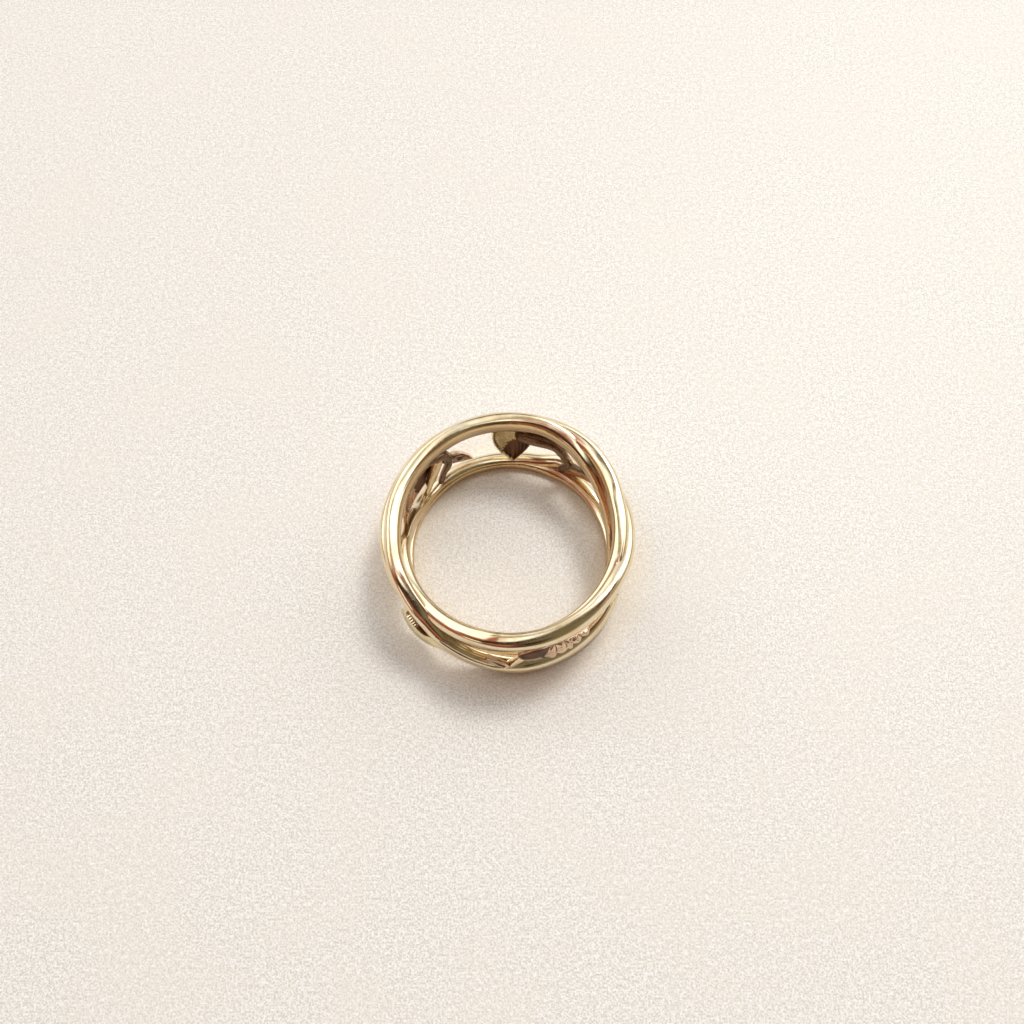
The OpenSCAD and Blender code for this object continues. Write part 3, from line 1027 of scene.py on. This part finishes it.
def floor_material():
    """Pale and finely grained, with a few sparks and a painted warm shadow and bounce light near the
    gold.
    """
    material = bpy.data.materials.new("pale_floor")
    n = Nodes(material)
    shader = n.tree.nodes["Principled BSDF"]
    place = n.add("ShaderNodeTexCoord").outputs["Object"]
    speck = n.noise(place, 6500.0, 1.0)
    fibre = n.add(
        "ShaderNodeTexNoise", {"Vector": place, "Scale": 2500.0, "Detail": 4.0, "Roughness": 0.7}
    ).outputs[0]
    grain = n.math("ADD", n.math("MULTIPLY", speck, 0.6), n.math("MULTIPLY", fibre, 0.4))
    tone = n.mix(n.span(grain, 0.36, 0.62, 0.0, 1.0), FLOOR_DARK, FLOOR_PALE)
    wide = n.noise(place, 90.0, 2.0)
    tone = n.mix(n.span(wide, 0.35, 0.7, 0.0, 0.35), tone, FLOOR_WARM)
    spark = n.noise(place, 4200.0, 0.0)
    tone = n.mix(n.span(spark, 0.66, 0.74, 0.0, 0.7), tone, SPARK)
    # Painted warm shadow and bounce light from the gold, on the floor near the ring
    apart = n.add("ShaderNodeVectorMath", {0: place}, operation="LENGTH").outputs["Value"]
    near_gold = n.math("ABSOLUTE", n.math("SUBTRACT", apart, MIDDLE_R * MM))
    tone = n.mix(n.span(near_gold, 0.0012, 0.0040, 0.3, 0.0), tone, PAINTED_GOLD_BOUNCE_AND_SHADOW)
    n.put(shader.inputs["Base Color"], tone)
    shader.inputs["Roughness"].default_value = 0.55
    height = n.math("ADD", grain, fibre)
    bumps = n.add("ShaderNodeBump", {"Height": height, "Strength": 0.25, "Distance": 0.00008})
    n.put(shader.inputs["Normal"], bumps.outputs[0])
    return material


def make_floor():
    """A flat square at the height of the ring's foot."""
    corners = [(-1, -1), (1, -1), (1, 1), (-1, 1)]
    mesh = bpy.data.meshes.new("floor")
    mesh.from_pydata([(x * FLOOR_REACH, y * FLOOR_REACH, 0) for x, y in corners], [], [(0, 1, 2, 3)])
    mesh.materials.append(floor_material())
    obj = bpy.data.objects.new("floor", mesh)
    bpy.context.scene.collection.objects.link(obj)
    return obj


floor = make_floor()

# Light


def direction(azimuth, elevation):
    """Unit vector at an azimuth from +X and an elevation, in degrees."""
    a, e = math.radians(azimuth), math.radians(elevation)
    return Vector((math.cos(a) * math.cos(e), math.sin(a) * math.cos(e), math.sin(e)))


def area_light(name, azimuth, elevation, distance, size, power, colour):
    """A round lamp that points at the ring, with its distance and size in metres."""
    lamp = bpy.data.lights.new(name, "AREA")
    lamp.shape = "DISK"
    lamp.size = size
    lamp.energy = power
    lamp.color = colour
    obj = bpy.data.objects.new(name, lamp)
    obj.location = direction(azimuth, elevation) * distance
    obj.rotation_euler = (-obj.location).to_track_quat("-Z", "Y").to_euler()
    bpy.context.scene.collection.objects.link(obj)


KEY_COLOUR = (1.0, 0.985, 0.96)
area_light("key", azimuth=56, elevation=58, distance=0.6, size=0.16, power=1.5, colour=KEY_COLOUR)

# The sky has patches of light and dark, each laid over those before it, which the
# metal reflects: azimuth, elevation, how far round its middle the patch is full and
# where it ends, all in degrees, and its colour

BASE_SKY = (0.46, 0.40, 0.31, 1)
SKY_PATCHES = [
    (95, 12, 16, 55, (0.85, 0.85, 0.82)),
    (255, 38, 30, 58, (0.05, 0.03, 0.02)),
    (310, 35, 15, 34, (0.20, 0.17, 0.11)),
    (40, 48, 24, 36, (1.75, 1.78, 1.80)),
    (152, 46, 24, 36, (1.65, 1.68, 1.70)),
    (348, 58, 10, 22, (0.07, 0.035, 0.02)),
    (325, 64, 4, 13, (0.17, 0.15, 0.10)),
    (10, 67, 3, 10, (0.45, 0.17, 0.10)),
    (262, 80, 6, 14, (1.50, 1.53, 1.55)),
    (93, 30, 5, 16, (0.14, 0.09, 0.05)),
    (200, 72, 9, 17, (0.42, 0.15, 0.09)),
    (195, 46, 6, 14, (0.40, 0.15, 0.09)),
    (126, 67, 4, 10, (0.17, 0.14, 0.08)),
    (207, 10, 14, 24, (0.36, 0.12, 0.075)),
    (243, 28, 8, 15, (0.38, 0.14, 0.085)),
    (264, 28, 8, 15, (0.42, 0.14, 0.085)),
    (286, 33, 6, 13, (0.03, 0.02, 0.012)),
    (222, 19, 4, 9, (1.30, 1.22, 1.10)),
]


def make_world():
    """Soft studio light from all round."""
    world = bpy.data.worlds.new("studio")
    bpy.context.scene.world = world
    n = Nodes(world)
    place = n.add("ShaderNodeTexCoord").outputs["Generated"]
    colour = BASE_SKY
    for azimuth, elevation, full, end, patch in SKY_PATCHES:
        inputs = {0: place, 1: direction(azimuth, elevation)}
        dot = n.add("ShaderNodeVectorMath", inputs, operation="DOT_PRODUCT").outputs["Value"]
        rim, core = math.cos(math.radians(end)), math.cos(math.radians(full))
        colour = n.mix(n.span(dot, rim, core, 0.0, 1.0), colour, (*patch, 1))
    n.put(n.tree.nodes["Background"].inputs["Color"], colour)


make_world()
bpy.context.scene.view_settings.view_transform = "Standard"

# Camera, looking down and along +Y: its angle above the floor, how far it is from
# the frame's origin along its own axes in millimetres, and the photo's width and the
# focal length in the photo's pixels

ELEVATION = math.radians(68.6)
CAMERA_AWAY, CAMERA_UP, CAMERA_RIGHT = 90.8, 4.03, 0.2
FRAME_PIXELS, FOCAL_PIXELS = 1024, 1000
SENSOR_MM = 36.0
right = Vector((1, 0, 0))
up = Vector((0, math.sin(ELEVATION), math.cos(ELEVATION)))
back = right.cross(up)
camera_data = bpy.data.cameras.new("camera")
camera_data.sensor_width = SENSOR_MM
camera_data.lens = SENSOR_MM * FOCAL_PIXELS / FRAME_PIXELS
camera_data.clip_start = 0.005
camera_data.clip_end = 10.0
camera = bpy.data.objects.new("camera", camera_data)
matrix = Matrix((right, up, back)).transposed().to_4x4()
matrix.translation = (back * CAMERA_AWAY + up * CAMERA_UP + right * CAMERA_RIGHT) * MM
camera.matrix_world = matrix
bpy.context.scene.collection.objects.link(camera)
bpy.context.scene.camera = camera
